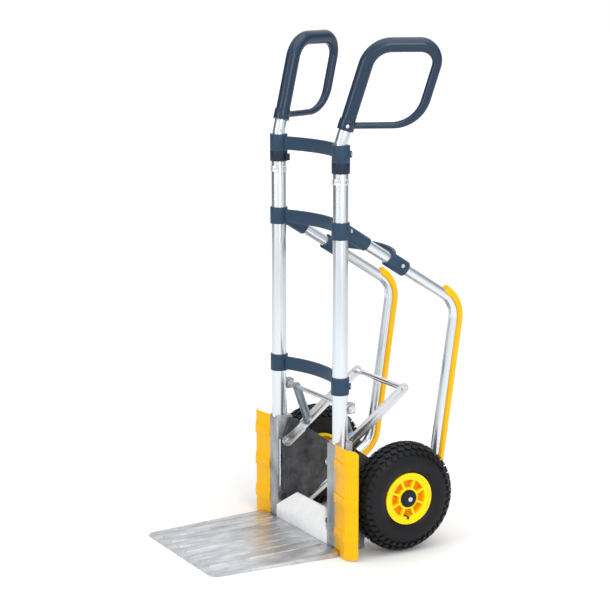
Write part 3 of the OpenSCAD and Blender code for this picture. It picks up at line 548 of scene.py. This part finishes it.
# %% Grips
def make_grip(side, s):
    """One grip: its flat loop is turned outwards by the splay and swept into a tube."""
    x0 = s * (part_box("upright_right")[0].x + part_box("upright_right")[1].x) / 2
    line = grip_stations()
    bpy.ops.object.select_all(action="DESELECT")
    bpy.ops.curve.primitive_nurbs_path_add()
    piece = bpy.context.object
    piece.name = f"grip_{side}_loop"
    curve = piece.data
    curve.splines.clear()
    spline = curve.splines.new("POLY")
    spline.points.add(len(line) - 1)
    for point, (place, radius) in zip(spline.points, line):
        along = place.x
        point.co = (x0 + s * along * math.sin(GRIP_SPLAY), along * math.cos(GRIP_SPLAY), place.y, 1)
        point.radius = radius / GRIP_THICK
    curve.dimensions = "3D"
    curve.twist_mode = "MINIMUM"
    curve.bevel_depth = GRIP_THICK
    curve.bevel_resolution = 8
    curve.use_fill_caps = True
    only(piece)
    bpy.ops.object.convert(target="MESH")
    bpy.ops.object.mode_set(mode="EDIT")
    bpy.ops.mesh.select_all(action="SELECT")
    bpy.ops.mesh.remove_doubles(threshold=MERGE_WITHIN)
    bpy.ops.mesh.normals_make_consistent(inside=False)
    bpy.ops.object.mode_set(mode="OBJECT")
    bpy.ops.object.shade_smooth_by_angle(angle=GRIP_SMOOTH_BELOW)
    stand_for(piece, f"grip_{side}", "grip_plastic")
    return piece


for side, s in (("left", -1), ("right", 1)):
    grip = make_grip(side, s)
    print(grip.name, "faces:", len(grip.data.polygons))

# %% [markdown]
# ## The tyres
# A small pneumatic tyre is a smooth carcass with rows of rubber blocks across its crown and shoulders. The
# carcass is a profile spun round the axle. One block is modelled, leant to its row's slope and repeated round
# the wheel with an Array modifier that turns by one pitch. A displacement map would be quicker, but the
# blocks' square edges are what a tyre's outline is made of.

# %% Tyre sizes
tyre_low, tyre_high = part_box("tyre_right")
TYRE_R = (tyre_high.z - tyre_low.z) / 2
TYRE_X = (tyre_high.x + tyre_low.x) / 2
TYRE_HALF = (tyre_high.x - tyre_low.x) / 2
SECTION_R = TYRE_HALF + 3 * MM
SIDE_TRIM = 1.5 * MM
RING_R = TYRE_R - SECTION_R
BLOCK_RISE = 4.2 * MM
BEAD_R = 61.6 * MM
BLOCKS_ROUND = 40
BLOCK_SKEW = 24
ROW_ANGLES = (-54, -33, -11, 11, 33, 54)
ROW_WIDTH = math.radians(22)
ACROSS_FILLED = 0.72
AROUND_FILLED = 0.64
BLOCK_EDGE = 0.5 * MM
PROFILE_STEPS = 40
SPIN_STEPS = 96
SPIN_MERGE = 0.02 * MM
BEAD_WIDTH = 0.86
TYRE_SMOOTH_BELOW = math.radians(40)
print("tyre radius:", round(TYRE_R, 4), "section radius:", round(SECTION_R, 4))


# %% Tyre carcass
def carcass_profile():
    """Half section of the carcass, from bead to bead, as (x, radius)."""
    outer = SECTION_R - BLOCK_RISE
    reach = math.acos((BEAD_R - RING_R) / outer)
    points = []
    for step in range(PROFILE_STEPS + 1):
        a = -reach + 2 * reach * step / PROFILE_STEPS
        x = max(-TYRE_HALF + SIDE_TRIM, min(TYRE_HALF - SIDE_TRIM, outer * math.sin(a)))
        points.append((x, RING_R + outer * math.cos(a)))
    return points


print("carcass profile points:", len(carcass_profile()))


def make_carcass(name):
    """The carcass: its closed profile is spun round the wheel's axis."""
    mesh = bpy.data.meshes.new(name)
    profile = carcass_profile()
    inner = [(x * BEAD_WIDTH, BEAD_R) for x, r in (profile[-1], profile[0])]
    points = [(x, 0, r) for x, r in profile + inner]
    edges = [(i, (i + 1) % len(points)) for i in range(len(points))]
    mesh.from_pydata(points, edges, [])
    piece = bpy.data.objects.new(name, mesh)
    bpy.context.scene.collection.objects.link(piece)
    only(piece)
    bpy.ops.object.mode_set(mode="EDIT")
    bpy.ops.mesh.select_all(action="SELECT")
    bpy.ops.mesh.spin(steps=SPIN_STEPS, angle=math.tau, center=(0, 0, 0), axis=(1, 0, 0))
    bpy.ops.mesh.select_all(action="SELECT")
    bpy.ops.mesh.remove_doubles(threshold=SPIN_MERGE)
    bpy.ops.mesh.normals_make_consistent(inside=False)
    bpy.ops.object.mode_set(mode="OBJECT")
    bpy.ops.object.shade_smooth_by_angle(angle=TYRE_SMOOTH_BELOW)
    return piece


# %% Tread blocks
def make_row(angle, shift, skew, pivot):
    """One row of blocks at a slope across the tyre, repeated round the wheel."""
    slope = math.radians(angle)
    row_r = RING_R + SECTION_R * math.cos(slope)
    length = math.tau * row_r / BLOCKS_ROUND
    width = SECTION_R * ROW_WIDTH
    bpy.ops.object.select_all(action="DESELECT")
    bpy.ops.mesh.primitive_cube_add(size=1)
    block = bpy.context.object
    block.scale = (width * ACROSS_FILLED, length * AROUND_FILLED, BLOCK_RISE * 2)
    bpy.ops.object.transform_apply(location=False, rotation=False, scale=True)
    bpy.ops.object.mode_set(mode="EDIT")
    bpy.ops.mesh.select_all(action="SELECT")
    bpy.ops.transform.rotate(value=math.radians(skew), orient_axis="Z", center_override=(0, 0, 0))
    bpy.ops.object.mode_set(mode="OBJECT")
    apply_bevel(block, BLOCK_EDGE, segments=1)
    depth = SECTION_R - BLOCK_RISE
    block.location = (depth * math.sin(slope), 0, RING_R + depth * math.cos(slope))
    block.rotation_euler = (0, slope, 0)
    only(block)
    bpy.ops.object.transform_apply(location=True, rotation=True, scale=False)
    block.rotation_euler = (shift * math.tau / BLOCKS_ROUND, 0, 0)
    bpy.ops.object.transform_apply(location=False, rotation=True, scale=False)
    array = block.modifiers.new("round_the_wheel", "ARRAY")
    array.count = BLOCKS_ROUND
    array.use_relative_offset = False
    array.use_object_offset = True
    array.offset_object = pivot
    bpy.ops.object.modifier_apply(modifier=array.name)
    return block


def make_tyre(side, s):
    """A carcass and its rows of blocks, joined and set on the axle."""
    bpy.ops.object.select_all(action="DESELECT")
    bpy.ops.object.empty_add(location=(0, 0, 0), rotation=(math.tau / BLOCKS_ROUND, 0, 0))
    pivot = bpy.context.object
    carcass = make_carcass(f"tyre_{side}_treaded")
    rows = []
    for index, angle in enumerate(ROW_ANGLES):
        skew = BLOCK_SKEW if angle > 0 else -BLOCK_SKEW
        rows.append(make_row(angle, 0.5 * (index % 2), skew, pivot))
    only(carcass)
    for row in rows:
        row.select_set(True)
    bpy.ops.object.join()
    bpy.data.objects.remove(pivot)
    carcass.location = (s * TYRE_X, AXLE_Y, AXLE_Z)
    only(carcass)
    bpy.ops.object.transform_apply(location=True, rotation=False, scale=False)
    stand_for(carcass, f"tyre_{side}", "tyre_rubber")
    return carcass


for side, s in (("left", -1), ("right", 1)):
    tyre = make_tyre(side, s)
    print(tyre.name, "faces:", len(tyre.data.polygons))
